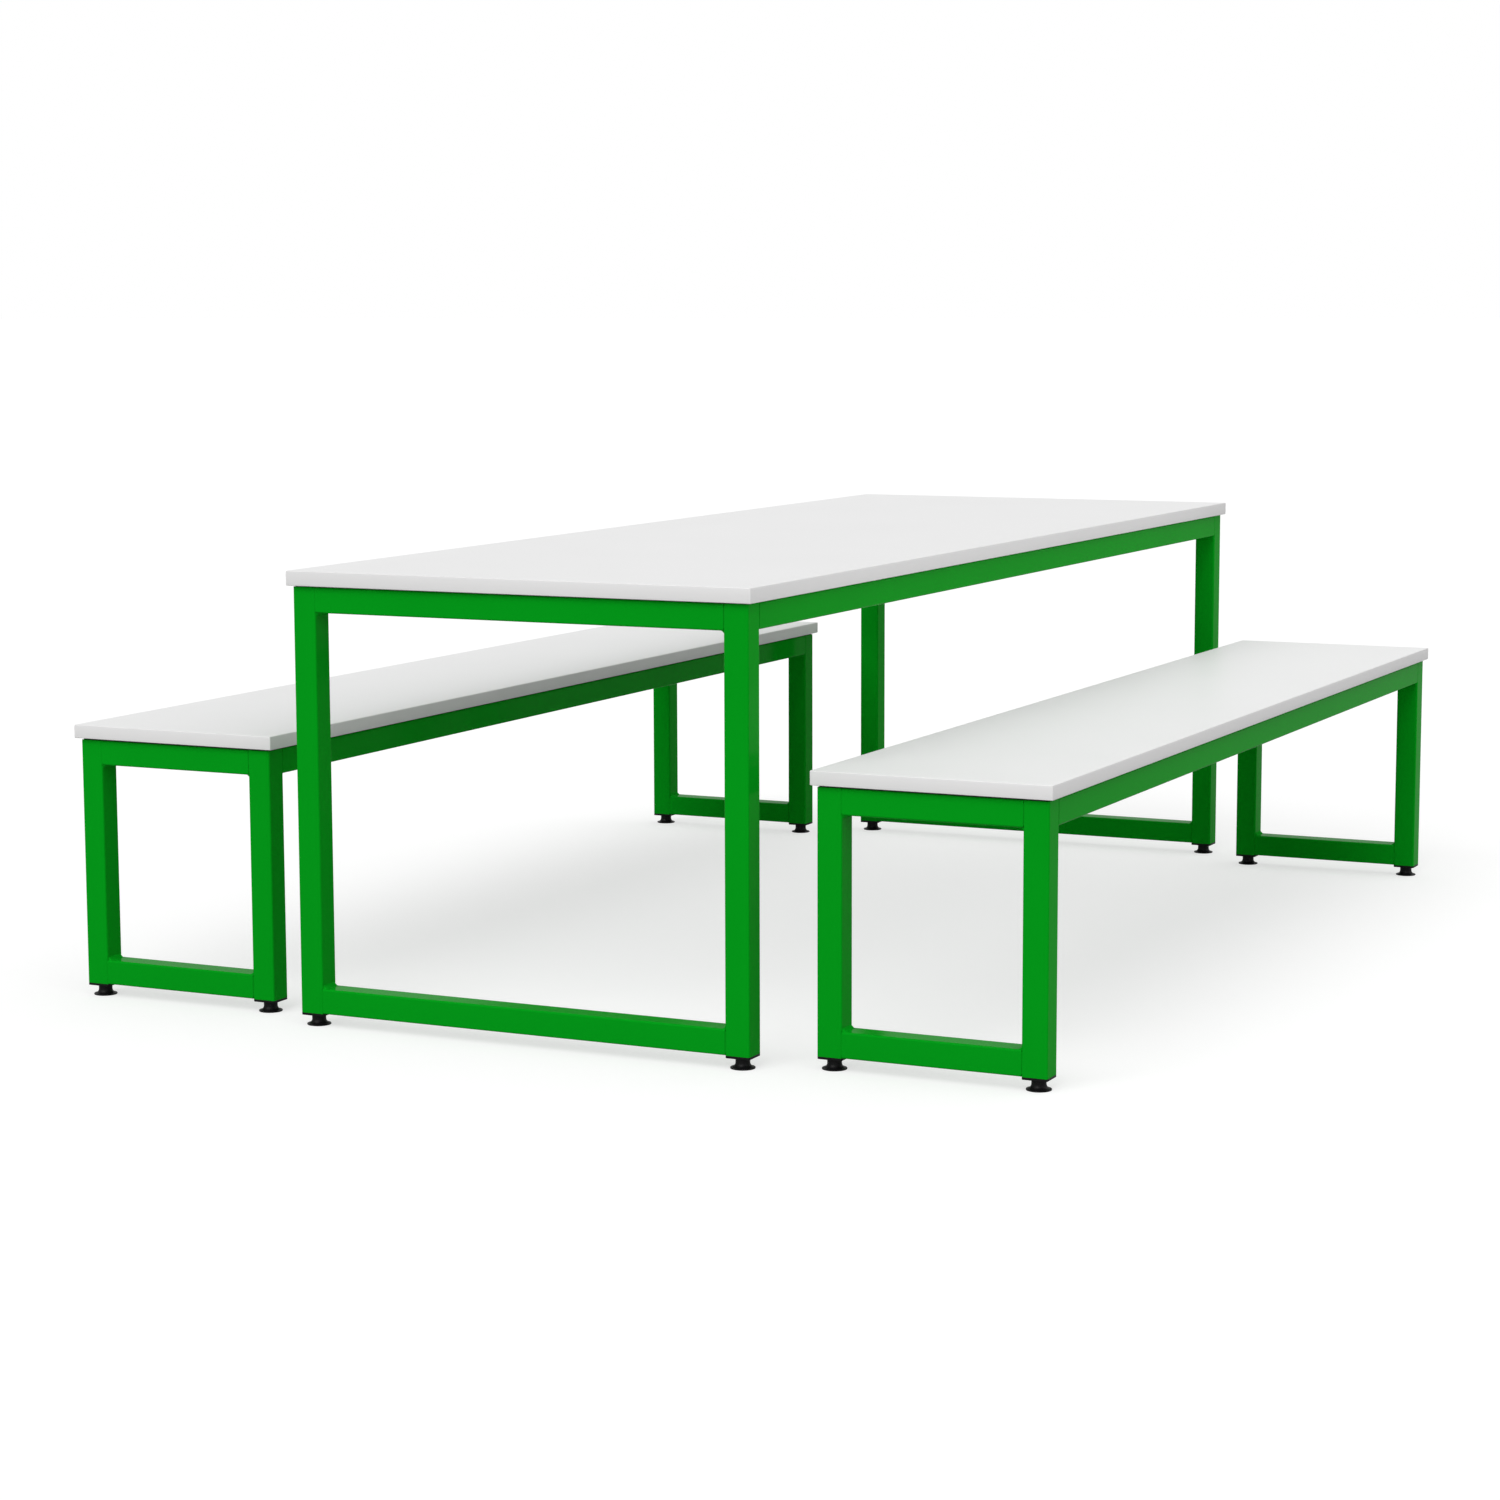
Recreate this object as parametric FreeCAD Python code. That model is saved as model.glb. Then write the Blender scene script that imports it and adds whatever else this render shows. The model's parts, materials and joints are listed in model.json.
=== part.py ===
"""Dining table with two benches that push in under it.

Each of the three units is a white edged board on a welded frame of square steel tube, with a
plastic insert and a screw-in levelling foot at the lower end of every leg. X runs across the
table, Y along it and Z up, with the origin on the floor under the middle of the table.
"""
import FreeCAD
import Part
import os
from collections import namedtuple

# Overall sizes, in millimetres
TABLE_LENGTH = 2250.0
TABLE_WIDTH = 800.0
TABLE_HEIGHT = 720.0
BENCH_LENGTH = 2100.0
BENCH_WIDTH = 380.0
BENCH_HEIGHT = 450.0
BENCH_GAP = 70.0            # from the table's edge to the bench's edge, seen from above
BENCH_SHIFT = -22.0         # how far along Y both benches stand from the table's middle

# Boards
BOARD_THICKNESS = 25.0
BOARD_OVERHANG = 8.0        # board edge beyond the frame, on every side
EDGING_THICKNESS = 2.0
EDGE_ROUNDING = 1.2
EDGING_JOINT = 0.1          # hairline where two strips of edging meet at a corner

# Square tube frames
TUBE_SIZE = 40.0
TUBE_WALL = 2.0
TUBE_INNER_CORNER = 1.0
WELD_LEG = 6.0

# Lugs welded to the rails, and the screws that hold the board down on them
LUG_LENGTH = 32.0
LUG_REACH = 26.0
LUG_THICKNESS = 4.0
LUG_HOLE_DIAMETER = 5.6
SIDE_LUGS = 4               # on each side rail
END_LUGS = 1                # on each upper end rail
SCREW_DIAMETER = 4.8
SCREW_BITE = 17.0           # length of screw inside the board
SCREW_HEAD_DIAMETER = 9.6
SCREW_HEAD_HEIGHT = 3.0
SCREW_CLEARANCE = 0.05      # between the screw and the wall of its pilot hole

# Feet
FOOT_HEIGHT = 21.0          # from the floor to the lower end of the leg tube
FLANGE_THICKNESS = 4.0
PLUG_DEPTH = 26.0
PLUG_CLEARANCE = 0.15       # between the plug and the tube's inner wall
STUD_DIAMETER = 10.0
STUD_CLEARANCE = 0.25       # between the stud and the bore of the insert
STUD_REACH = 38.0           # length of stud above the foot's neck
STUD_SOCKET = 9.0           # length of stud moulded into the foot
PAD_DIAMETER = 38.0
PAD_LIP = 2.0
PAD_CHAMFER = 0.8
NECK_DIAMETER = 21.0
FLARE_HEIGHT = 7.5
FLARE_SAG = 2.3             # how far the flare curves in from a straight cone
SEAT_GAP = 0.3              # between the foot's neck and the insert above it

TUBE_CORNER = TUBE_WALL + TUBE_INNER_CORNER
TUBE_BORE = TUBE_SIZE - 2 * TUBE_WALL
BENCH_CENTRE_X = TABLE_WIDTH / 2 + BENCH_GAP + BENCH_WIDTH / 2
ENDS = (("front", -1), ("rear", 1))
SIDES = (("left", -1), ("right", 1))

Unit = namedtuple("Unit", "name length width height centre_x centre_y")
UNITS = (
    Unit("table", TABLE_LENGTH, TABLE_WIDTH, TABLE_HEIGHT, 0.0, 0.0),
    Unit("left_bench", BENCH_LENGTH, BENCH_WIDTH, BENCH_HEIGHT, -BENCH_CENTRE_X, BENCH_SHIFT),
    Unit("right_bench", BENCH_LENGTH, BENCH_WIDTH, BENCH_HEIGHT, BENCH_CENTRE_X, BENCH_SHIFT),
)
X_AXIS = FreeCAD.Vector(1, 0, 0)
Y_AXIS = FreeCAD.Vector(0, 1, 0)
Z_AXIS = FreeCAD.Vector(0, 0, 1)
ORIGIN = FreeCAD.Vector(0, 0, 0)


def centred_box(size_x, size_y, size_z):
    """Return a box centred on the origin in X and Y that stands on Z = 0."""
    return Part.makeBox(size_x, size_y, size_z, FreeCAD.Vector(-size_x / 2, -size_y / 2, 0))


def along_z(edge):
    """Return whether a straight edge runs along Z."""
    return abs(abs(edge.tangentAt(edge.FirstParameter).z) - 1) < 1e-6


def square_bar(size, corner, length):
    """Return a square bar along Z with its four long edges rounded."""
    bar = centred_box(size, size, length)
    return bar.makeFillet(corner, [edge for edge in bar.Edges if along_z(edge)])


def square_tube(length):
    """Return a length of the frame tube along Z."""
    outer = square_bar(TUBE_SIZE, TUBE_CORNER, length)
    return outer.cut(square_bar(TUBE_BORE, TUBE_INNER_CORNER, length))


def moved(shape, x, y, z):
    """Return a copy of a shape moved by x, y and z."""
    copy = shape.copy()
    copy.translate(FreeCAD.Vector(x, y, z))
    return copy


def turned(shape, axis, degrees):
    """Return a copy of a shape turned about an axis through the origin."""
    copy = shape.copy()
    copy.rotate(ORIGIN, axis, degrees)
    return copy


def frame_reach(unit):
    """Return how far the middle of a unit's legs lies from its centre, in X and in Y."""
    inset = BOARD_OVERHANG + TUBE_SIZE / 2
    return unit.width / 2 - inset, unit.length / 2 - inset


def frame_top(unit):
    """Return the height of the frame's top, where the board lies."""
    return unit.height - BOARD_THICKNESS


def corners(unit):
    """Return the name and place of each leg of a unit."""
    reach_x, reach_y = frame_reach(unit)
    return [
        (f"{end}_{side}", x_sign * reach_x, y_sign * reach_y)
        for end, y_sign in ENDS
        for side, x_sign in SIDES
    ]


def make_frame(unit):
    """Return the tubes of a unit's frame by node name, about the unit's centre."""
    reach_x, reach_y = frame_reach(unit)
    top_z = frame_top(unit) - TUBE_SIZE / 2
    bottom_z = FOOT_HEIGHT + TUBE_SIZE / 2
    end_length = 2 * reach_x - TUBE_SIZE
    side_length = 2 * reach_y - TUBE_SIZE
    leg = square_tube(frame_top(unit) - FOOT_HEIGHT)
    end_rail = turned(moved(square_tube(end_length), 0, 0, -end_length / 2), Y_AXIS, 90)
    side_rail = turned(moved(square_tube(side_length), 0, 0, -side_length / 2), X_AXIS, 90)
    tubes = {f"{name}_leg": moved(leg, x, y, FOOT_HEIGHT) for name, x, y in corners(unit)}
    for end, y_sign in ENDS:
        tubes[f"{end}_top_rail"] = moved(end_rail, 0, y_sign * reach_y, top_z)
        tubes[f"{end}_bottom_rail"] = moved(end_rail, 0, y_sign * reach_y, bottom_z)
    for side, x_sign in SIDES:
        tubes[f"{side}_side_rail"] = moved(side_rail, x_sign * reach_x, 0, top_z)
    return tubes


def weld_bead():
    """Return a fillet weld along Y that fills the corner between +X and +Z."""
    length = TUBE_SIZE - 2 * TUBE_CORNER
    start = -length / 2
    outline = Part.makePolygon([
        FreeCAD.Vector(0, start, 0),
        FreeCAD.Vector(WELD_LEG, start, 0),
        FreeCAD.Vector(0, start, WELD_LEG),
        FreeCAD.Vector(0, start, 0),
    ])
    return Part.Face(outline).extrude(Y_AXIS * length)


def make_welds(unit):
    """Return the fillet welds in the inner corners where the rails meet the legs."""
    reach_x, reach_y = frame_reach(unit)
    inner_x = reach_x - TUBE_SIZE / 2
    inner_y = reach_y - TUBE_SIZE / 2
    rail_under = frame_top(unit) - TUBE_SIZE
    rail_over = FOOT_HEIGHT + TUBE_SIZE
    rising = weld_bead()
    hanging = turned(rising, Y_AXIS, 90)
    beads = []
    for _, x, y in corners(unit):
        facing = 0 if x < 0 else 180
        x_place = -inner_x if x < 0 else inner_x
        beads.append(moved(turned(rising, Z_AXIS, facing), x_place, y, rail_over))
        beads.append(moved(turned(hanging, Z_AXIS, facing), x_place, y, rail_under))
        inward = 90 if y < 0 else -90
        y_place = -inner_y if y < 0 else inner_y
        beads.append(moved(turned(hanging, Z_AXIS, inward), x, y_place, rail_under))
    return Part.makeCompound(beads)


def lug_places(unit):
    """Return the place of each lug's root on a rail and the angle that it points at."""
    reach_x, reach_y = frame_reach(unit)
    inner_x = reach_x - TUBE_SIZE / 2
    inner_y = reach_y - TUBE_SIZE / 2
    places = []
    for step in range(SIDE_LUGS):
        y = 2 * inner_y * ((step + 0.5) / SIDE_LUGS - 0.5)
        places += [(-inner_x, y, 0), (inner_x, y, 180)]
    for step in range(END_LUGS):
        x = 2 * inner_x * ((step + 0.5) / END_LUGS - 0.5)
        places += [(x, -inner_y, 90), (x, inner_y, -90)]
    return places


def at_lugs(unit, shape, z):
    """Return a copy of a shape at each lug of a unit, its own +X turned inwards."""
    return [moved(turned(shape, Z_AXIS, angle), x, y, z) for x, y, angle in lug_places(unit)]


def make_lugs(unit):
    """Return the lugs, flush with the frame's top."""
    plate = moved(centred_box(LUG_REACH, LUG_LENGTH, LUG_THICKNESS), LUG_REACH / 2, 0, 0)
    hole = Part.makeCylinder(LUG_HOLE_DIAMETER / 2, LUG_THICKNESS, FreeCAD.Vector(LUG_REACH / 2, 0, 0))
    return Part.makeCompound(at_lugs(unit, plate.cut(hole), frame_top(unit) - LUG_THICKNESS))


def make_screws(unit):
    """Return the pan-head screws, each head under its lug and its shank up in the board."""
    under_lug = frame_top(unit) - LUG_THICKNESS
    middle = FreeCAD.Vector(LUG_REACH / 2, 0, 0)
    shank = Part.makeCylinder(SCREW_DIAMETER / 2, LUG_THICKNESS + SCREW_BITE, middle)
    head = Part.makeCylinder(SCREW_HEAD_DIAMETER / 2, SCREW_HEAD_HEIGHT, middle - Z_AXIS * SCREW_HEAD_HEIGHT)
    lower_rim = [edge for edge in head.Edges if edge.Closed and edge.CenterOfMass.z < -SCREW_HEAD_HEIGHT / 2]
    head = head.makeFillet(SCREW_HEAD_HEIGHT / 2, lower_rim)
    return Part.makeCompound(at_lugs(unit, head.fuse(shank).removeSplitter(), under_lug))


def make_board(unit):
    """Return the board's core, with its pilot holes, and the four strips of edging round it."""
    core_x = unit.width - 2 * EDGING_THICKNESS
    core_y = unit.length - 2 * EDGING_THICKNESS
    block = centred_box(unit.width, unit.length, BOARD_THICKNESS)
    block = block.makeFillet(EDGE_ROUNDING, block.Edges)
    strips = []
    for _, sign in SIDES:
        side_slice = centred_box(EDGING_THICKNESS, unit.length, BOARD_THICKNESS)
        strips.append(block.common(moved(side_slice, sign * (unit.width - EDGING_THICKNESS) / 2, 0, 0)))
    for _, sign in ENDS:
        end_slice = centred_box(core_x - 2 * EDGING_JOINT, EDGING_THICKNESS, BOARD_THICKNESS)
        strips.append(block.common(moved(end_slice, 0, sign * (unit.length - EDGING_THICKNESS) / 2, 0)))
    pilot = Part.makeCylinder(
        SCREW_DIAMETER / 2 + SCREW_CLEARANCE, SCREW_BITE + SCREW_CLEARANCE, FreeCAD.Vector(LUG_REACH / 2, 0, 0))
    core = centred_box(core_x, core_y, BOARD_THICKNESS).cut(at_lugs(unit, pilot, 0))
    edging = Part.makeCompound(strips)
    return moved(core, 0, 0, frame_top(unit)), moved(edging, 0, 0, frame_top(unit))


def make_inserts(unit):
    """Return the plastic inserts, a plug up inside each leg over a flange under its end."""
    flange = square_bar(TUBE_SIZE, TUBE_CORNER, FLANGE_THICKNESS)
    plug = square_bar(TUBE_BORE - 2 * PLUG_CLEARANCE, TUBE_INNER_CORNER, PLUG_DEPTH)
    bore = Part.makeCylinder(STUD_DIAMETER / 2 + STUD_CLEARANCE, FLANGE_THICKNESS + PLUG_DEPTH)
    insert = flange.fuse(moved(plug, 0, 0, FLANGE_THICKNESS)).removeSplitter().cut(bore)
    lower_end = FOOT_HEIGHT - FLANGE_THICKNESS
    return Part.makeCompound([moved(insert, x, y, lower_end) for _, x, y in corners(unit)])


def make_foot():
    """Return a levelling foot standing on Z = 0: the moulded pad and the stud set in it."""
    pad_r = PAD_DIAMETER / 2
    neck_r = NECK_DIAMETER / 2
    flare_top = PAD_LIP + FLARE_HEIGHT
    top = FOOT_HEIGHT - FLANGE_THICKNESS - SEAT_GAP
    flare_start = FreeCAD.Vector(pad_r, 0, PAD_LIP)
    flare_end = FreeCAD.Vector(neck_r, 0, flare_top)
    inwards = FreeCAD.Vector(-FLARE_HEIGHT, 0, neck_r - pad_r).normalize()
    flare_middle = (flare_start + flare_end) * 0.5 + inwards * FLARE_SAG
    before = [
        FreeCAD.Vector(0, 0, top),
        ORIGIN,
        FreeCAD.Vector(pad_r - PAD_CHAMFER, 0, 0),
        FreeCAD.Vector(pad_r, 0, PAD_CHAMFER),
        flare_start,
    ]
    after = [flare_end, FreeCAD.Vector(neck_r, 0, top), before[0]]
    edges = Part.makePolygon(before).Edges + Part.makePolygon(after).Edges
    edges.append(Part.Arc(flare_start, flare_middle, flare_end).toShape())
    outline = Part.Wire(Part.__sortEdges__(edges))
    stud_start = FreeCAD.Vector(0, 0, top - STUD_SOCKET)
    stud = Part.makeCylinder(STUD_DIAMETER / 2, STUD_SOCKET + STUD_REACH, stud_start)
    pad = Part.Face(outline).revolve(ORIGIN, Z_AXIS, 360).cut(stud)
    return Part.makeCompound([pad, stud])


def make_unit(unit):
    """Return every node of a unit by name, about the unit's centre."""
    nodes = make_frame(unit)
    nodes["top_board"], nodes["top_edging"] = make_board(unit)
    nodes["weld_beads"] = make_welds(unit)
    nodes["fixing_lugs"] = make_lugs(unit)
    nodes["top_screws"] = make_screws(unit)
    nodes["foot_inserts"] = make_inserts(unit)
    foot = make_foot()
    for name, x, y in corners(unit):
        nodes[f"{name}_foot"] = moved(foot, x, y, 0)
    return nodes


os.makedirs("parts", exist_ok=True)
for furniture in UNITS:
    for node_name, node_shape in make_unit(furniture).items():
        placed = moved(node_shape, furniture.centre_x, furniture.centre_y, 0)
        placed.exportStep(f"parts/{furniture.name}_{node_name}.step")
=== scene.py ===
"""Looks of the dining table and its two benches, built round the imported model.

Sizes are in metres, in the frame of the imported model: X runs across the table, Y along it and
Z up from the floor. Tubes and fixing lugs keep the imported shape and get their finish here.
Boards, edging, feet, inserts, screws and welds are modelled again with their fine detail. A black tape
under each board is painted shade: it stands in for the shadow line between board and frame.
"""
import json
import logging
import math
from dataclasses import dataclass, field
from enum import Enum
from typing import Optional, Sequence, Union

import bmesh
import bpy
from mathutils import Matrix, Vector


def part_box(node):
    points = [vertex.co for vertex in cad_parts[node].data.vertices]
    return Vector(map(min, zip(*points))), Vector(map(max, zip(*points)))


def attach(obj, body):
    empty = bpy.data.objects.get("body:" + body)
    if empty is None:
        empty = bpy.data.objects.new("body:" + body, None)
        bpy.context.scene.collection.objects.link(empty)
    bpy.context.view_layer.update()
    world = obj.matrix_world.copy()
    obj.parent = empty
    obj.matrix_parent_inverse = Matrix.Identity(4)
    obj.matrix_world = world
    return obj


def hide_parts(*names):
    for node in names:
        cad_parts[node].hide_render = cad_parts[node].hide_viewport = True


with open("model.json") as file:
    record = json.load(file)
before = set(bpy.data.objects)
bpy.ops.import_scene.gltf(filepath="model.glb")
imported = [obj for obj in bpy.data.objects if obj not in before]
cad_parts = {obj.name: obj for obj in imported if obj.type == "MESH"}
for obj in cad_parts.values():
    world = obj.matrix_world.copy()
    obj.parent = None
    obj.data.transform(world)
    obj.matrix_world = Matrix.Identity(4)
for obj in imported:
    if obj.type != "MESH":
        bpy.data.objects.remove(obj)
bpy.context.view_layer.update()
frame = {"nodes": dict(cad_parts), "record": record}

LOG = logging.getLogger("table_and_benches")
IMAGE_SIDE = 1500               # pixels along each side of the picture
MERGE = 1e-6                    # points closer than this are one point
NEAR = 1e-5                     # points this near to a circle lie on it
SHARP_ANGLE = math.radians(38)  # edges that fold by more than this stay crisp
DOWNWARD = -0.9                 # a face whose normal has a lower Z looks down
UPRIGHT = 0.5                   # a face whose normal has a smaller Z stands upright
RIM_SEGMENTS = 3                # faces across a small rounded rim
UP = Vector((0, 0, 1))
TABLE_SHADOW_TAPE = 0.0016             # thickness of the black tape under the table's board, painted shade that stands in for the shadow line there
BENCH_SHADOW_TAPE = 0.0030             # thickness of the black tape under a bench's board, painted shade that stands in for the darker shadow line there

Colour = tuple[float, float, float]
Operand = Union["Signal", float]


class Slot(Enum):
    """The material slots of the record."""

    FRAME = "frame_green"
    BOARD = "board_white"
    EDGING = "edging_white"
    STEEL = "screw_steel"
    FOOT = "foot_black"


class Corner(Enum):
    """The four corners of a unit, with the side of its middle that each lies on."""

    FRONT_LEFT = ("front_left", -1, -1)
    FRONT_RIGHT = ("front_right", 1, -1)
    REAR_LEFT = ("rear_left", -1, 1)
    REAR_RIGHT = ("rear_right", 1, 1)

    def __init__(self, label: str, x_sign: int, y_sign: int) -> None:
        """Keep the name and the signs of a corner.

        Args:
            label: The corner's part of a node's name.
            x_sign: -1 on the left and 1 on the right.
            y_sign: -1 at the front and 1 at the rear.
        """
        self.label = label
        self.x_sign = x_sign
        self.y_sign = y_sign


class Signal:
    """A shader socket that adds Math nodes when it stands in a Python expression."""

    def __init__(self, graph: "ShaderGraph", socket: bpy.types.NodeSocket) -> None:
        """Wrap one output socket of a graph."""
        self.graph = graph
        self.socket = socket

    def __add__(self, other: Operand) -> "Signal":
        """Return the sum."""
        return self.graph.maths("ADD", self, other)

    def __radd__(self, other: Operand) -> "Signal":
        """Return the sum with the number on the left."""
        return self.graph.maths("ADD", other, self)

    def __sub__(self, other: Operand) -> "Signal":
        """Return the difference."""
        return self.graph.maths("SUBTRACT", self, other)

    def __rsub__(self, other: Operand) -> "Signal":
        """Return the difference with the number on the left."""
        return self.graph.maths("SUBTRACT", other, self)

    def __mul__(self, other: Operand) -> "Signal":
        """Return the product."""
        return self.graph.maths("MULTIPLY", self, other)

    def __rmul__(self, other: Operand) -> "Signal":
        """Return the product with the number on the left."""
        return self.graph.maths("MULTIPLY", other, self)


class ShaderGraph:
    """A node tree that is filled by plain calls."""

    def __init__(self, tree: bpy.types.NodeTree) -> None:
        """Empty the tree that is to be filled."""
        tree.nodes.clear()
        self.tree = tree

    def node(
        self,
        kind: str,
        settings: Optional[dict] = None,
        inputs: Optional[dict] = None,
        output: Union[int, str] = 0,
    ) -> Optional[Signal]:
        """Add a node.

        Args:
            kind: The type of the node.
            settings: Its own settings, which are set first.
            inputs: Values or signals for its sockets, by name or by number.
            output: The output that the caller wants.

        Returns:
            The wanted output, or None for a node that has no outputs.
        """
        made = self.tree.nodes.new(kind)
        for name, value in (settings or {}).items():
            setattr(made, name, value)
        for key, value in (inputs or {}).items():
            if isinstance(value, Signal):
                self.tree.links.new(value.socket, made.inputs[key])
            else:
                made.inputs[key].default_value = value
        return Signal(self, made.outputs[output]) if made.outputs else None

    def maths(self, operation: str, first: Operand, second: Operand) -> Signal:
        """Return the result of one Math node."""
        return self.node("ShaderNodeMath", {"operation": operation}, {0: first, 1: second})

    def noise(self, place: Signal, grain: float, detail: float = 2.0) -> Signal:
        """Return a noise from 0 to 1 whose lumps are about one grain across."""
        inputs = {"Vector": place, "Scale": 1 / grain, "Detail": detail, "Roughness": 0.5}
        return self.node("ShaderNodeTexNoise", {}, inputs)

    def blend(self, first: Colour, second: Colour, factor: Signal) -> Signal:
        """Return a colour between two colours."""
        inputs = {0: factor, 6: (*first, 1.0), 7: (*second, 1.0)}
        return self.node("ShaderNodeMix", {"data_type": "RGBA"}, inputs, output=2)


@dataclass(frozen=True)
class Finish:
    """A surface finish: a colour that drifts a little, its gloss and its fine relief."""

    name: str
    slot: Slot
    colour: Colour
    drift: float                # share by which the colour changes
    drift_size: float           # width of those changes
    roughness: float
    roughness_drift: float
    grain: float                # width of the lumps in the relief
    grain_depth: float
    metallic: float = 0.0
    specular: float = 0.5
    specular_tint: Colour = (1.0, 1.0, 1.0)
    gloss_parts: float = 3.0    # changes of gloss to the width of one change of colour
    gloss_detail: float = 4.0

    def relief(self, graph: ShaderGraph, place: Signal) -> Signal:
        """Return the height of the relief, from 0 to 1."""
        return graph.noise(place, self.grain)

    def material(self) -> bpy.types.Material:
        """Make the material of this finish.

        Returns:
            A new material with its whole node tree.
        """
        made = bpy.data.materials.new(self.name)
        made.use_nodes = True
        graph = ShaderGraph(made.node_tree)
        place = graph.node("ShaderNodeTexCoord", output="Object")
        cloud = graph.noise(place, self.drift_size)
        gloss = graph.noise(place, self.drift_size / self.gloss_parts, self.gloss_detail)
        dark = tuple(part * (1 - self.drift) for part in self.colour)
        light = tuple(part * (1 + self.drift) for part in self.colour)
        bump = graph.node("ShaderNodeBump", {}, {
            "Strength": 1.0,
            "Distance": self.grain_depth,
            "Height": self.relief(graph, place),
        })
        shader = graph.node("ShaderNodeBsdfPrincipled", {}, {
            "Base Color": graph.blend(dark, light, cloud),
            "Roughness": self.roughness + (gloss - 0.5) * (2 * self.roughness_drift),
            "Metallic": self.metallic,
            "Specular IOR Level": self.specular,
            "Specular Tint": (*self.specular_tint, 1.0),
            "Normal": bump,
        })
        graph.node("ShaderNodeOutputMaterial", {}, {"Surface": shader})
        return made


@dataclass(frozen=True)
class PowderCoat(Finish):
    """Baked powder paint, with the soft ripple of its skin over a finer grain."""

    skin: float = 0.009         # width of the slow ripple
    skin_share: float = 0.75    # its share of the relief's height
    skin_detail: float = 1.0

    def relief(self, graph: ShaderGraph, place: Signal) -> Signal:
        """Add the fine grain to the slow ripple.

        Args:
            graph: The node tree of the material.
            place: Where on the piece.

        Returns:
            The height of the relief, from 0 to 1.
        """
        ripple = graph.noise(place, self.skin, self.skin_detail)
        grain = graph.noise(place, self.grain)
        return self.skin_share * ripple + (1 - self.skin_share) * grain


@dataclass(frozen=True)
class EdgeBand(Finish):
    """Extruded edging, with faint lines along its length."""

    line_length: float = 0.25

    def relief(self, graph: ShaderGraph, place: Signal) -> Signal:
        """Draw lines that run level round the board.

        Args:
            graph: The node tree of the material.
            place: Where on the piece.

        Returns:
            The height of the relief, from 0 to 1.
        """
        stretch = (1 / self.line_length, 1 / self.line_length, 1 / self.grain)
        lines = graph.node("ShaderNodeMapping", {}, {"Vector": place, "Scale": stretch})
        return graph.noise(lines, 1.0)


FINISHES: tuple[Finish, ...] = (
    PowderCoat(
        "green_powder_coat", Slot.FRAME, (0.0015, 0.335, 0.011), drift=0.05, drift_size=0.22,
        roughness=0.11, roughness_drift=0.03, grain=0.0016, grain_depth=0.00006,
        specular=0.015, specular_tint=(0.2, 1.0, 0.3),
    ),
    Finish(
        "white_melamine", Slot.BOARD, (0.90, 0.90, 0.90), drift=0.012, drift_size=0.35,
        roughness=0.40, roughness_drift=0.05, grain=0.0011, grain_depth=0.00003,
    ),
    EdgeBand(
        "white_edging", Slot.EDGING, (0.82, 0.815, 0.815), drift=0.015, drift_size=0.3,
        roughness=0.42, roughness_drift=0.05, grain=0.0009, grain_depth=0.00004,
    ),
    Finish(
        "zinc_plated_steel", Slot.STEEL, (0.60, 0.60, 0.58), drift=0.08, drift_size=0.01,
        roughness=0.34, roughness_drift=0.08, grain=0.0007, grain_depth=0.00003, metallic=1.0,
    ),
    Finish(
        "black_moulded_plastic", Slot.FOOT, (0.005, 0.005, 0.0055), drift=0.15, drift_size=0.03,
        roughness=0.42, roughness_drift=0.08, grain=0.0008, grain_depth=0.00004, specular=0.15,
    ),
)


class Wardrobe:
    """The materials by slot, each made once."""

    def __init__(self, finishes: Sequence[Finish]) -> None:
        """Make a material for every finish."""
        self.by_slot = {finish.slot: finish.material() for finish in finishes}

    def dress_node(self, node: str) -> None:
        """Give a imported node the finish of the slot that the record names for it.

        Args:
            node: The name of the node.
        """
        rows = frame["record"]["subparts"]
        slot = next(row["material_slot"] for row in rows if row["node"] == node)
        for holder in frame["nodes"][node].material_slots:
            holder.material = self.by_slot[Slot(slot)]
        LOG.info("%s: packed shape, finished in %s", node, slot)

    def hang(self, mesh: bpy.types.Mesh, name: str, slot: Slot, body: str, node: str) -> bpy.types.Object:
        """Make a piece of a finished mesh.

        Args:
            mesh: The mesh, in place.
            name: The name of the piece.
            slot: The slot that it takes its finish from.
            body: The body that it rides on.
            node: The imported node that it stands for.

        Returns:
            The new object.
        """
        mesh.name = name
        mesh.polygons.foreach_set("use_smooth", [True] * len(mesh.polygons))
        mesh.set_sharp_from_angle(angle=SHARP_ANGLE)
        mesh.materials.append(self.by_slot[slot])
        piece = bpy.data.objects.new(name, mesh)
        bpy.context.scene.collection.objects.link(piece)
        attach(piece, body)
        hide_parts(node)
        LOG.info("%s: %d faces, rides on %s", name, len(mesh.polygons), body)
        return piece


def to_mesh(work: bmesh.types.BMesh) -> bpy.types.Mesh:
    """Turn a closed shape's faces outwards, make a mesh of it and free the shape.

    Args:
        work: The shape.

    Returns:
        The mesh.
    """
    bmesh.ops.recalc_face_normals(work, faces=work.faces)
    mesh = bpy.data.meshes.new("shape")
    work.to_mesh(mesh)
    work.free()
    return mesh


def stamp(shape: bpy.types.Mesh, places: Sequence[Matrix], target: bmesh.types.BMesh) -> None:
    """Add a copy of a shape to a target at each place.

    Args:
        shape: The shape, at the origin.
        places: Where the copies go.
        target: The bmesh that takes them.
    """
    for place in places:
        copy = shape.copy()
        copy.transform(place)
        target.from_mesh(copy)
        bpy.data.meshes.remove(copy)


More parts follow.
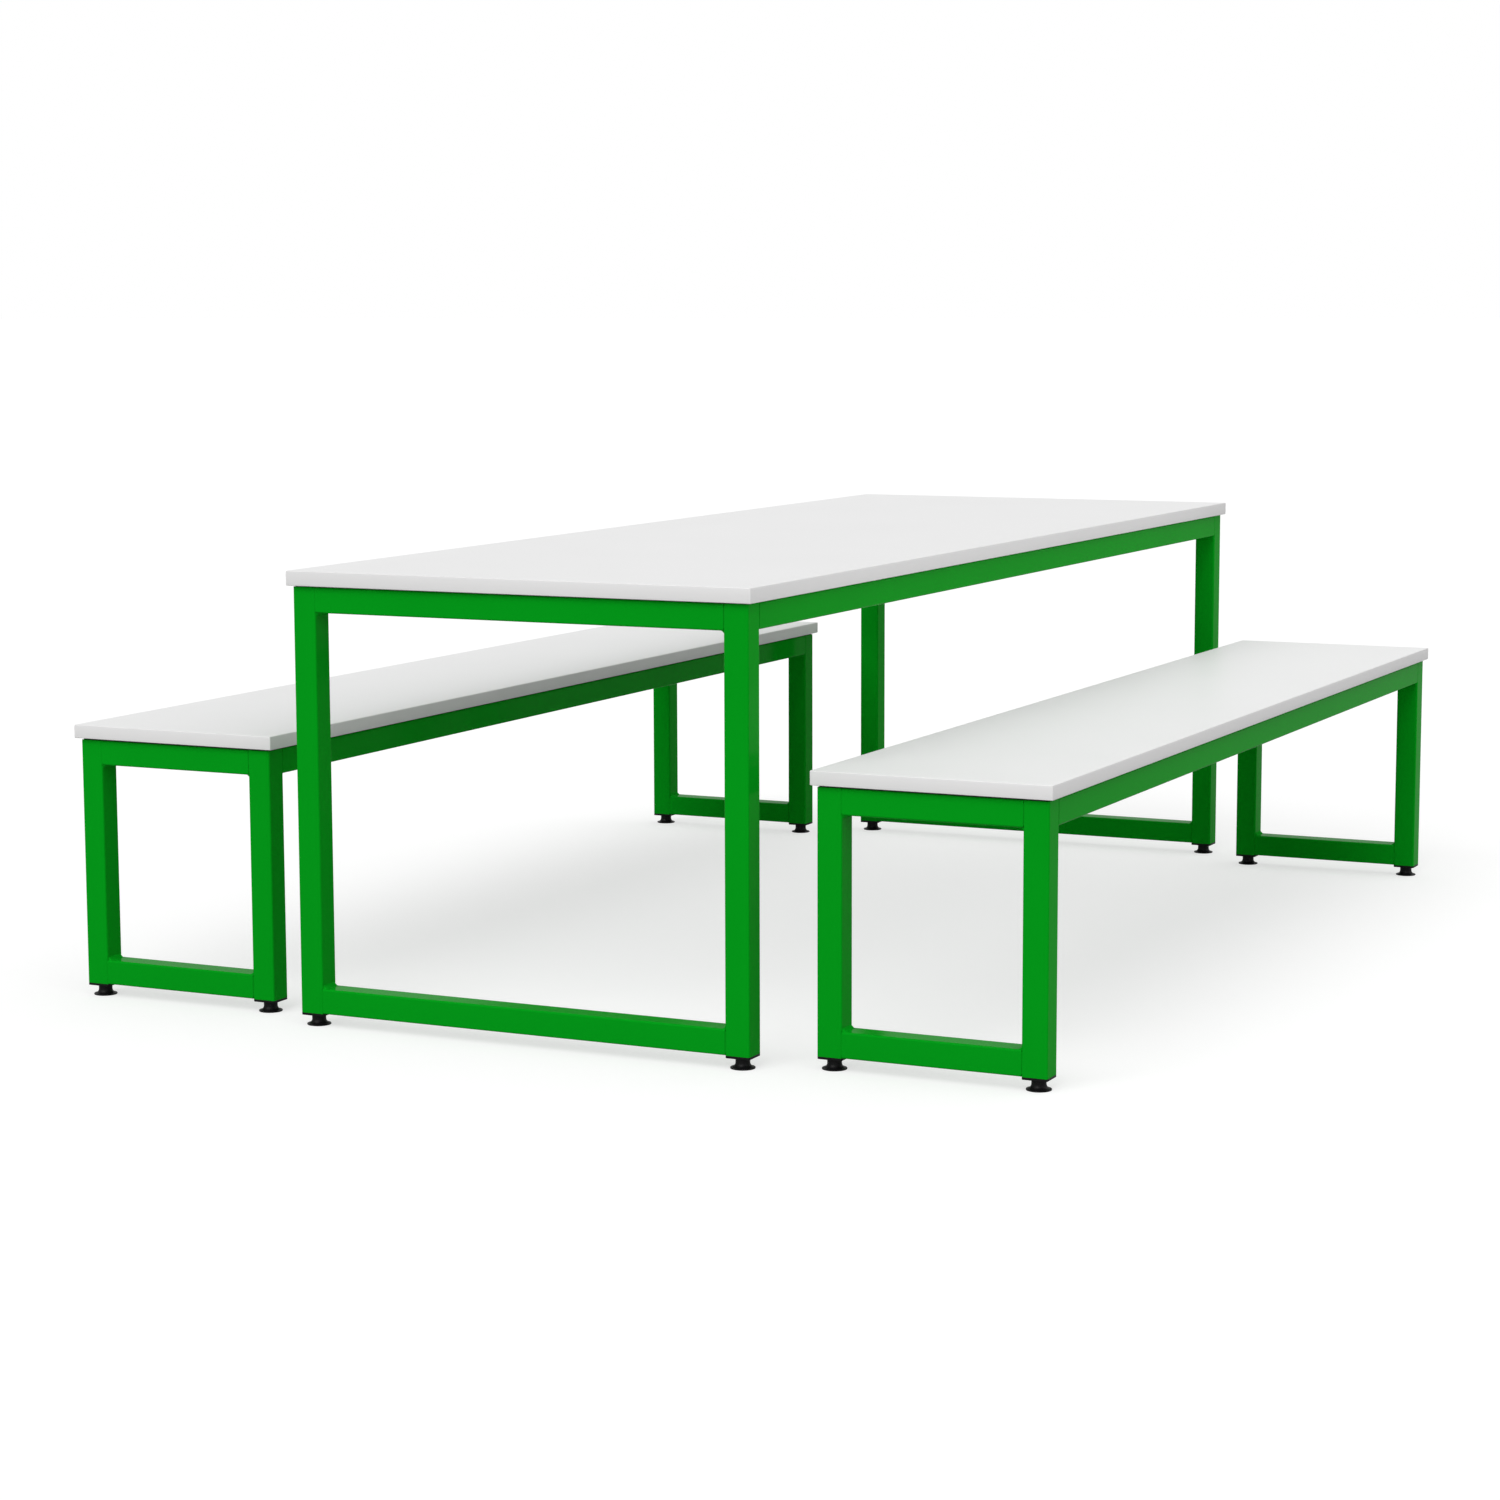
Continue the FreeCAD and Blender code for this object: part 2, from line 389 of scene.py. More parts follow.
def turn_profile(work: bmesh.types.BMesh, profile: Sequence[tuple[float, float]], steps: int) -> None:
    """Spin a profile into a closed round shape.

    Args:
        work: The bmesh that takes the shape.
        profile: Radius and height of each point, from the axis to the axis.
        steps: The number of faces round the shape.
    """
    verts = [work.verts.new((radius, 0, height)) for radius, height in profile]
    edges = [work.edges.new(pair) for pair in zip(verts, verts[1:])]
    bmesh.ops.spin(
        work, geom=verts + edges, cent=(0, 0, 0), axis=UP, dvec=(0, 0, 0),
        angle=2 * math.pi, steps=steps, use_merge=True,
    )
    bmesh.ops.remove_doubles(work, verts=work.verts, dist=MERGE)
    bmesh.ops.recalc_face_normals(work, faces=work.faces)


def ring(work: bmesh.types.BMesh, radius: float, height: float) -> list[bmesh.types.BMEdge]:
    """Find the edges that go round the Z axis at a radius and a height.

    Args:
        work: The bmesh that holds them.
        radius: Their distance from the axis.
        height: Their height.

    Returns:
        The edges.
    """
    def on_ring(vert: bmesh.types.BMVert) -> bool:
        """Return whether a point lies on the ring."""
        return abs(vert.co.xy.length - radius) < NEAR and abs(vert.co.z - height) < NEAR
    return [edge for edge in work.edges if all(on_ring(vert) for vert in edge.verts)]


def round_off(
    work: bmesh.types.BMesh,
    edges: Sequence[bmesh.types.BMEdge],
    size: float,
    segments: int,
) -> None:
    """Round edges off.

    Args:
        work: The bmesh that holds the edges.
        edges: The edges.
        size: How far the rounding reaches from an edge.
        segments: The number of faces across it.
    """
    bmesh.ops.bevel(
        work, geom=list(edges), offset=size, offset_type="OFFSET", affect="EDGES",
        segments=segments, profile=0.5, material=-1, clamp_overlap=True,
    )


def extrude(
    work: bmesh.types.BMesh,
    faces: Sequence[bmesh.types.BMFace],
    step: Vector,
) -> tuple[list[bmesh.types.BMVert], list[bmesh.types.BMFace]]:
    """Extrude faces by a step.

    Args:
        work: The bmesh that holds the faces.
        faces: The faces to extrude.
        step: How far and which way they go.

    Returns:
        The new vertices and the new faces.
    """
    made = bmesh.ops.extrude_face_region(work, geom=list(faces))["geom"]
    verts = [item for item in made if isinstance(item, bmesh.types.BMVert)]
    bmesh.ops.translate(work, verts=verts, vec=step)
    return verts, [item for item in made if isinstance(item, bmesh.types.BMFace)]


@dataclass
class LevellingFoot:
    """A moulded foot on a threaded stud."""

    pad_diameter: float
    neck_top: float             # height of the neck's upper end
    stud_top: float             # height of the stud's upper end
    lip: float = 0.0020
    flare: float = 0.0074       # radius of the hollow flare from the pad to the neck
    neck_diameter: float = 0.0222
    rim_rounding: float = 0.0006
    recess_margin: float = 0.0045
    recess_depth: float = 0.0008
    stud_diameter: float = 0.0100
    thread_pitch: float = 0.0015
    thread_depth: float = 0.0009
    crest_start: float = 0.4    # where the thread's flat crest begins, as a share of the pitch
    crest_end: float = 0.6
    steps: int = 64
    flare_segments: int = 10
    thread_steps: int = 20      # to one turn of the thread

    def pad(self) -> bpy.types.Mesh:
        """Model the moulded pad and neck.

        Returns:
            The mesh, standing on the origin.
        """
        pad_r = self.pad_diameter / 2
        neck_r = self.neck_diameter / 2
        work = bmesh.new()
        turn_profile(work, [
            (0, 0), (pad_r, 0), (pad_r, self.lip),
            (neck_r, self.lip), (neck_r, self.neck_top), (0, self.neck_top),
        ], self.steps)
        underside = [face for face in work.faces if face.normal.z < DOWNWARD]
        bmesh.ops.inset_region(work, faces=underside, thickness=self.recess_margin, use_even_offset=True)
        extrude(work, underside, UP * self.recess_depth)
        round_off(work, ring(work, neck_r, self.lip), self.flare, self.flare_segments)
        rims = ring(work, pad_r, 0) + ring(work, pad_r, self.lip) + ring(work, neck_r, self.neck_top)
        round_off(work, rims, self.rim_rounding, RIM_SEGMENTS)
        return to_mesh(work)

    def stud(self) -> bpy.types.Mesh:
        """Model the threaded stud that stands on the neck.

        Returns:
            The mesh, over the origin.
        """
        crest = self.stud_diameter / 2
        root = crest - self.thread_depth
        start = self.neck_top - self.thread_pitch
        turns = math.ceil((self.stud_top - start) / self.thread_pitch) + 1
        work = bmesh.new()
        tooth = [(root, 0.0), (crest, self.crest_start), (crest, self.crest_end), (root, 1.0)]
        verts = [work.verts.new((radius, 0, start + part * self.thread_pitch)) for radius, part in tooth]
        edges = [work.edges.new(pair) for pair in zip(verts, verts[1:])]
        bmesh.ops.spin(
            work, geom=verts + edges, cent=(0, 0, 0), axis=UP,
            dvec=UP * (self.thread_pitch / self.thread_steps),
            angle=2 * math.pi * turns, steps=self.thread_steps * turns, use_merge=False,
        )
        bmesh.ops.remove_doubles(work, verts=work.verts, dist=MERGE)
        for height, normal in ((self.neck_top, -UP), (self.stud_top, UP)):
            parts = work.verts[:] + work.edges[:] + work.faces[:]
            bmesh.ops.bisect_plane(
                work, geom=parts, plane_co=UP * height, plane_no=normal, clear_outer=True,
            )
            rim = [edge for edge in work.edges if edge.is_boundary]
            rim = [edge for edge in rim if all(abs(vert.co.z - height) < MERGE for vert in edge.verts)]
            bmesh.ops.edgeloop_fill(work, edges=rim)
        return to_mesh(work)


@dataclass
class FootInsert:
    """A plastic insert: a flange under the tube and a ribbed plug up inside it."""

    tube: float
    tube_corner: float
    flange: float
    plug_depth: float
    bore: float = 0.0105
    wall: float = 0.0020
    clearance: float = 0.00015
    edge_rounding: float = 0.0006
    ribs: int = 4
    rib_depth: float = 0.0010
    corner_segments: int = 5

    def slab(self, size: float, corner: float, low: float, high: float, rounding: float) -> bpy.types.Mesh:
        """Model a square slab with round corners and a round bore.

        Args:
            size: The width of the slab.
            corner: The radius of its corners.
            low: The height of its underside.
            high: The height of its top.
            rounding: The rounding of its lower rim, or 0 for none.

        Returns:
            The mesh of the slab.
        """
        work = bmesh.new()
        sheet = bmesh.ops.create_grid(work, x_segments=1, y_segments=1, size=size / 2)["verts"]
        bmesh.ops.bevel(
            work, geom=sheet, offset=corner, offset_type="OFFSET", affect="VERTICES",
            segments=self.corner_segments, profile=0.5, material=-1,
        )
        bmesh.ops.delete(work, geom=work.faces[:], context="FACES_ONLY")
        rim = len(work.edges)
        bmesh.ops.create_circle(work, cap_ends=False, segments=rim, radius=self.bore / 2)
        bmesh.ops.bridge_loops(work, edges=work.edges[:])
        extrude(work, work.faces[:], UP * (high - low))
        if rounding:
            lower = [
                edge for edge in work.edges
                if all(vert.co.z < MERGE and vert.co.xy.length > self.bore for vert in edge.verts)
            ]
            outline = [
                edge for edge in lower
                if any(abs(face.normal.z) < UPRIGHT for face in edge.link_faces)
            ]
            round_off(work, outline, rounding, RIM_SEGMENTS)
        bmesh.ops.translate(work, verts=work.verts, vec=UP * low)
        return to_mesh(work)

    def model(self) -> bpy.types.Mesh:
        """Model the flange, the core of the plug and its ribs.

        Returns:
            The mesh, with the flange's underside on the origin.
        """
        rib_size = self.tube - 2 * self.wall - 2 * self.clearance
        core_size = rib_size - 2 * self.rib_depth
        inner = self.tube_corner - self.wall
        layers = [self.slab(self.tube, self.tube_corner, 0, self.flange, self.edge_rounding)]
        step = self.plug_depth / (2 * self.ribs)
        for level in range(2 * self.ribs):
            size = core_size if level % 2 == 0 else rib_size
            low = self.flange + level * step
            layers.append(self.slab(size, inner, low, low + step, 0))
        work = bmesh.new()
        for layer in layers:
            stamp(layer, [Matrix.Identity(4)], work)
            bpy.data.meshes.remove(layer)
        return to_mesh(work)


@dataclass
class PanScrew:
    """A pan-head screw that points up, with a cross recess in its head."""

    head_diameter: float = 0.0096
    head_height: float = 0.0030
    shank_diameter: float = 0.0048
    shank_length: float = 0.0210
    tip_length: float = 0.0040
    recess_depth: float = 0.0013
    slot_half: float = 0.17     # half the width of the cross, as a share of the head's radius
    slot_end: float = 0.55      # from the axis to the end of an arm, as a share of that radius
    slot_height: float = 0.97   # the head's height there, as a share of its full height
    shoulder: tuple[float, float] = (0.85, 0.75)    # of the head, as shares of radius and height
    rim: float = 0.3            # height of the head's upright rim, as a share of its full height
    crown: float = 0.9          # share of the height past which a face of the head can be sunk
    steps: int = 24

    def model(self) -> bpy.types.Mesh:
        """Model the screw.

        Returns:
            The mesh, with the underside of its head on the origin.
        """
        head_r = self.head_diameter / 2
        shank_r = self.shank_diameter / 2
        tip_start = self.shank_length - self.tip_length
        slot_half = head_r * self.slot_half
        slot_end = head_r * self.slot_end
        work = bmesh.new()
        turn_profile(work, [
            (0, -self.head_height), (slot_half, -self.head_height),
            (slot_end, -self.head_height * self.slot_height),
            (head_r * self.shoulder[0], -self.head_height * self.shoulder[1]),
            (head_r, -self.head_height * self.rim), (head_r, 0),
            (shank_r, 0), (shank_r, tip_start), (0, self.shank_length),
        ], self.steps)
        recess = [face for face in work.faces if self.in_cross(face, slot_half, slot_end)]
        extrude(work, recess, UP * self.recess_depth)
        return to_mesh(work)

    def in_cross(self, face: bmesh.types.BMFace, slot_half: float, slot_end: float) -> bool:
        """Tell whether a face of the head belongs to the cross recess.

        Args:
            face: The face.
            slot_half: Half the width of the cross.
            slot_end: The distance from the axis to the end of an arm.

        Returns:
            True for a face of the recess.
        """
        middle = face.calc_center_median()
        if middle.z > -self.head_height * self.crown or middle.xy.length > slot_end:
            return False
        across = min(abs(middle.x), abs(middle.y))
        return middle.xy.length < slot_half or across < slot_half


@dataclass
class WeldRun:
    """A run of weld under paint, with the ripples that its making leaves."""

    ripple: float = 0.0020
    dip: float = 0.09           # share by which the bead shrinks between ripples
    taper: float = 0.55         # size of the bead's ends against its middle
    hollow: float = 0.36        # how far a fillet's face bows in: 0.5 is flat
    curve_steps: int = 6
    rod_sides: int = 10
    least: int = 4              # ripples on the shortest bead

    def run(self, work: bmesh.types.BMesh, face: bmesh.types.BMFace, length: float) -> None:
        """Draw a section out along Y with ripples, and shrink it at both ends.

        Args:
            work: The bmesh that holds the section.
            face: The section.
            length: The length of the run.
        """
        halves = 2 * max(self.least, round(length / self.ripple))
        size = self.taper
        bmesh.ops.scale(work, vec=(size, 1, size), verts=face.verts)
        for index in range(1, halves + 1):
            verts, faces = extrude(work, [face], Vector((0, length / halves, 0)))
            face = faces[0]
            wanted = self.taper if index == halves else 1 - self.dip * (index % 2)
            bmesh.ops.scale(work, vec=(wanted / size, 1, wanted / size), verts=verts)
            size = wanted

    def fillet(self, leg: float, length: float) -> bpy.types.Mesh:
        """Model a fillet weld along Y in the corner between +X and +Z.

        Args:
            leg: Its width on each of the two faces.
            length: Its length.

        Returns:
            The mesh, centred on the origin.
        """
        work = bmesh.new()
        bow = self.hollow * leg
        points = [Vector((0, 0, 0))]
        for step in range(self.curve_steps + 1):
            part = step / self.curve_steps
            rest = 1 - part
            middle = 2 * part * rest * bow
            points.append(Vector((rest * rest * leg + middle, 0, part * part * leg + middle)))
        face = work.faces.new([work.verts.new(point - Vector((0, length / 2, 0))) for point in points])
        self.run(work, face, length)
        return to_mesh(work)

    def rod(self, radius: float, length: float) -> bpy.types.Mesh:
        """Model a round bead along Y.

        Args:
            radius: Its radius.
            length: Its length.

        Returns:
            The mesh, centred on the origin.
        """
        work = bmesh.new()
        bmesh.ops.create_circle(work, cap_ends=True, segments=self.rod_sides, radius=radius)
        upright = Matrix.Rotation(math.pi / 2, 3, "X")
        bmesh.ops.rotate(work, verts=work.verts, cent=(0, 0, 0), matrix=upright)
        bmesh.ops.translate(work, verts=work.verts, vec=(0, -length / 2, 0))
        self.run(work, next(iter(work.faces)), length)
        return to_mesh(work)


@dataclass
class LaminatedTop:
    """A board with its edging, on a black tape along the frame that is painted shade: it stands in for the
    shadow line under the board.
    """

    low: Vector                 # of the box round board, edging and tape
    high: Vector
    shadow_tape: float                 # thickness of the black tape, painted shade that shows as the dark shadow line under the board
    edging: float = 0.0020
    rounding: float = 0.0014
    rounding_segments: int = 4
    washer_diameter: float = 0.0200
    steps: int = 32

    def slab(self, low: Vector, high: Vector, band: float) -> bmesh.types.BMesh:
        """Model a level slab, or only a band along its rim.

        Args:
            low: The slab's low corner.
            high: Its high corner.
            band: The width of the band, or 0 for the whole slab.

        Returns:
            The closed shape, in place.
        """
        work = bmesh.new()
        bmesh.ops.create_grid(work, x_segments=1, y_segments=1, size=0.5)
        size = high - low
        middle = (low + high) / 2
        bmesh.ops.scale(work, vec=(size.x, size.y, 1), verts=work.verts)
        bmesh.ops.translate(work, verts=work.verts, vec=(middle.x, middle.y, low.z))
        if band:
            inside = work.faces[:]
            bmesh.ops.inset_region(
                work, faces=inside, thickness=band, use_boundary=True, use_even_offset=True,
            )
            bmesh.ops.delete(work, geom=inside, context="FACES")
        extrude(work, work.faces[:], UP * size.z)
        return work

    def board(self) -> bpy.types.Mesh:
        """Model the board inside its edging."""
        inset = Vector((self.edging, self.edging, 0))
        return to_mesh(self.slab(self.low + inset + UP * self.shadow_tape, self.high - inset, 0))

    def edge_band(self) -> bpy.types.Mesh:
        """Model the edging, rounded along its rims and down its corners.

        Returns:
            The mesh of the edging.
        """
        work = self.slab(self.low + UP * self.shadow_tape, self.high, self.edging)
        middle = (self.low + self.high) / 2
        half = (self.high - self.low) / 2
        outer = [
            vert for vert in work.verts
            if abs(abs(vert.co.x - middle.x) - half.x) < MERGE
            and abs(abs(vert.co.y - middle.y) - half.y) < MERGE
        ]
        rims = [edge for edge in work.edges if all(vert in outer for vert in edge.verts)]
        round_off(work, rims, self.rounding, self.rounding_segments)
        return to_mesh(work)

    def shadow_tape_and_washers(self, low: Vector, high: Vector, band: float, lugs: Sequence[Matrix]) -> bpy.types.Mesh:
        """Model the black tape on the frame, painted shade for the shadow line under the board, and the
        washers on the lugs.

        Args:
            low: The low corner of the tape's outline, on the frame.
            high: Its high corner.
            band: The width of the tape.
            lugs: The middle of each lug's upper face.

        Returns:
            The mesh of the tape and the washers.
        """
        work = self.slab(low, high + UP * self.shadow_tape, band)
        washer = bmesh.new()
        radius = self.washer_diameter / 2
        turn_profile(washer, [(0, 0), (radius, 0), (radius, self.shadow_tape), (0, self.shadow_tape)], self.steps)
        stamp(to_mesh(washer), lugs, work)
        return to_mesh(work)


@dataclass
class Unit:
    """The table or a bench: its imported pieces, and the ones that are modelled again."""

    name: str
    shadow_tape: float                 # thickness of the black tape between frame and board, painted shade for the shadow line under the board
    tube_corner: float = 0.0030
    weld_leg: float = 0.0060
    seam_radius: float = 0.0013
    seam_inset: float = 0.0010  # from the rail's end into the leg
    seam_depth: float = 0.0016  # from the tube's face to the middle of the bead
    seat_gap: float = 0.0003
    lug_reach: float = 0.0260
    lug_thickness: float = 0.0040
    side_lugs: int = 4
    end_lugs: int = 1
    shadow_tape_inset: float = 0.0030  # from the frame's outline to the black tape of painted shade
    low: Vector = field(init=False)         # of the box round the frame
    high: Vector = field(init=False)
    middle: Vector = field(init=False)
    tube: float = field(init=False)         # width of the square tube
    frame_top: float = field(init=False)
    tube_end: float = field(init=False)     # height of the legs' lower ends
    insert_low: float = field(init=False)   # height of the inserts' undersides
    plug_depth: float = field(init=False)
    reach: Vector = field(init=False)       # from the unit's middle to the middle of a leg

    def __post_init__(self) -> None:
        """Read the unit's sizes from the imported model."""
        front_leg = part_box(f"{self.name}_front_left_leg")
        rear_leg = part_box(f"{self.name}_rear_right_leg")
        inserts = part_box(f"{self.name}_foot_inserts")
        self.low = front_leg[0].copy()
        self.high = rear_leg[1].copy()
        self.middle = (self.low + self.high) / 2
        self.tube = front_leg[1].x - front_leg[0].x
        self.frame_top = self.high.z
        self.tube_end = self.low.z
        self.insert_low = inserts[0].z
        self.plug_depth = inserts[1].z - self.tube_end
        self.reach = (self.high - self.low).xy / 2 - Vector((self.tube, self.tube)) / 2

    def node(self, label: str) -> str:
        """Return the full name of one of the unit's nodes."""
        return f"{self.name}_{label}"

    def at(self, x: float, y: float, z: float, angle: float = 0.0) -> Matrix:
        """Return a place beside the unit's middle, turned about Z, at a height above the floor."""
        move = Matrix.Translation((self.middle.x + x, self.middle.y + y, z))
        return move @ Matrix.Rotation(angle, 4, "Z")

    def leg_places(self, z: float) -> list[Matrix]:
        """Return the middle of each leg at a height."""
        return [self.at(corner.x_sign * self.reach.x, corner.y_sign * self.reach.y, z) for corner in Corner]

    def dress_packed(self, wardrobe: Wardrobe) -> None:
        """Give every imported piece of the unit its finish.

        Args:
            wardrobe: The materials of all the slots.
        """
        for node in frame["nodes"]:
            if node.startswith(self.name + "_"):
                wardrobe.dress_node(node)

    def build_feet(self, wardrobe: Wardrobe) -> None:
        """Build the pad and the stud of each foot, which ride on that foot's body.

        Args:
            wardrobe: The materials of all the slots.
        """
        for corner, place in zip(Corner, self.leg_places(0.0)):
            node = self.node(f"{corner.label}_foot")
            low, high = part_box(node)
            foot = LevellingFoot(high.x - low.x, self.insert_low - self.seat_gap, high.z)
            for part, mesh, slot in (("pad", foot.pad(), Slot.FOOT), ("stud", foot.stud(), Slot.STEEL)):
                mesh.transform(place)
                wardrobe.hang(mesh, f"{node}_{part}", slot, node, node)

    def build_inserts(self, wardrobe: Wardrobe) -> None:
        """Build the inserts in the lower ends of the legs.

        Args:
            wardrobe: The materials of all the slots.
        """
        insert = FootInsert(self.tube, self.tube_corner, self.tube_end - self.insert_low, self.plug_depth)
        work = bmesh.new()
        stamp(insert.model(), self.leg_places(self.insert_low), work)
        node = self.node("foot_inserts")
        wardrobe.hang(to_mesh(work), f"{node}_moulded", Slot.FOOT, self.name, node)

    def lug_places(self, z: float) -> list[Matrix]:
        """Work out the middle of each fixing lug.

        Args:
            z: The height.

        Returns:
            A place for each lug.
        """
        inset = (self.tube + self.lug_reach) / 2
        inner = self.reach - Vector((self.tube / 2, self.tube / 2))
        lug_x = self.reach.x - inset
        lug_y = self.reach.y - inset
        places = []
        for step in range(self.side_lugs):
            y = 2 * inner.y * ((step + 0.5) / self.side_lugs - 0.5)
            places += [self.at(-lug_x, y, z), self.at(lug_x, y, z)]
        for step in range(self.end_lugs):
            x = 2 * inner.x * ((step + 0.5) / self.end_lugs - 0.5)
            places += [self.at(x, -lug_y, z), self.at(x, lug_y, z)]
        return places

    def build_screws(self, wardrobe: Wardrobe) -> None:
        """Build the screws that hold the board down on the lugs.

        Args:
            wardrobe: The materials of all the slots.
        """
        work = bmesh.new()
        stamp(PanScrew().model(), self.lug_places(self.frame_top - self.lug_thickness), work)
        node = self.node("top_screws")
        wardrobe.hang(to_mesh(work), f"{node}_cross_head", Slot.STEEL, self.name, node)

    def fillet_places(self) -> list[Matrix]:
        """Work out where the fillet welds lie, in the inner corners between legs and rails.

        Returns:
            A place for each weld.
        """
        over = Matrix.Rotation(math.pi / 2, 4, "Y")
        inner = self.reach - Vector((self.tube / 2, self.tube / 2))
        rail_under = self.frame_top - self.tube
        rail_over = self.tube_end + self.tube
        places = []
        for corner in Corner:
            x = corner.x_sign * inner.x
            y = corner.y_sign * inner.y
            facing = 0.0 if corner.x_sign < 0 else math.pi
            inward = -corner.y_sign * math.pi / 2
            leg_x = corner.x_sign * self.reach.x
            leg_y = corner.y_sign * self.reach.y
            places.append(self.at(x, leg_y, rail_over, facing))
            places.append(self.at(x, leg_y, rail_under, facing) @ over)
            places.append(self.at(leg_x, y, rail_under, inward) @ over)
        return places

    def seam_places(self) -> list[Matrix]:
        """Work out where the seam welds stand, upright in the grooves beside the rails' ends.

        Returns:
            A place for each weld.
        """
        upright = Matrix.Rotation(math.pi / 2, 4, "X")
        half = self.tube / 2
        levels = (self.frame_top - half, self.tube_end + half)
        inner = self.reach - Vector((half - self.seam_inset, half - self.seam_inset))
        skin = half - self.seam_depth
        places = []
        for corner in Corner:
            for face in (-1, 1):
                x = corner.x_sign * inner.x
                y = corner.y_sign * self.reach.y + face * skin
                places += [self.at(x, y, level) @ upright for level in levels]
                x = corner.x_sign * self.reach.x + face * skin
                y = corner.y_sign * inner.y
                places.append(self.at(x, y, levels[0]) @ upright)
        return places

    def build_welds(self, wardrobe: Wardrobe) -> None:
        """Build the fillet welds and the seam welds of the frame.

        Args:
            wardrobe: The materials of all the slots.
        """
        flat = self.tube - 2 * self.tube_corner
        weld = WeldRun()
        work = bmesh.new()
        stamp(weld.fillet(self.weld_leg, flat), self.fillet_places(), work)
        stamp(weld.rod(self.seam_radius, flat), self.seam_places(), work)
        node = self.node("weld_beads")
        wardrobe.hang(to_mesh(work), f"{node}_rippled", Slot.FRAME, self.name, node)

    def build_top(self, wardrobe: Wardrobe) -> None:
        """Build the board, its edging, and under it the black tape of painted shade with its washers.

        Args:
            wardrobe: The materials of all the slots.
        """
        board = self.node("top_board")
        edging = self.node("top_edging")
        top = LaminatedTop(*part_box(edging), self.shadow_tape)
        inset = Vector((self.shadow_tape_inset, self.shadow_tape_inset, 0))
        low = Vector((self.low.x, self.low.y, self.frame_top)) + inset
        high = Vector((self.high.x, self.high.y, self.frame_top)) - inset
        band = self.tube - 2 * self.shadow_tape_inset
        shadow_tape_and_washers = top.shadow_tape_and_washers(low, high, band, self.lug_places(self.frame_top))
        wardrobe.hang(top.board(), f"{board}_laminated", Slot.BOARD, self.name, board)
        # the tape takes the feet's black plastic: painted shade standing in for the shadow line under the
        # board
        wardrobe.hang(shadow_tape_and_washers, f"{board}_packing", Slot.FOOT, self.name, board)
        wardrobe.hang(top.edge_band(), f"{edging}_rounded", Slot.EDGING, self.name, edging)

    def build(self, wardrobe: Wardrobe) -> None:
        """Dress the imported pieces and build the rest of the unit.

        Args:
            wardrobe: The materials of all the slots.
        """
        self.dress_packed(wardrobe)
        self.build_top(wardrobe)
        self.build_feet(wardrobe)
        self.build_inserts(wardrobe)
        self.build_screws(wardrobe)
        self.build_welds(wardrobe)


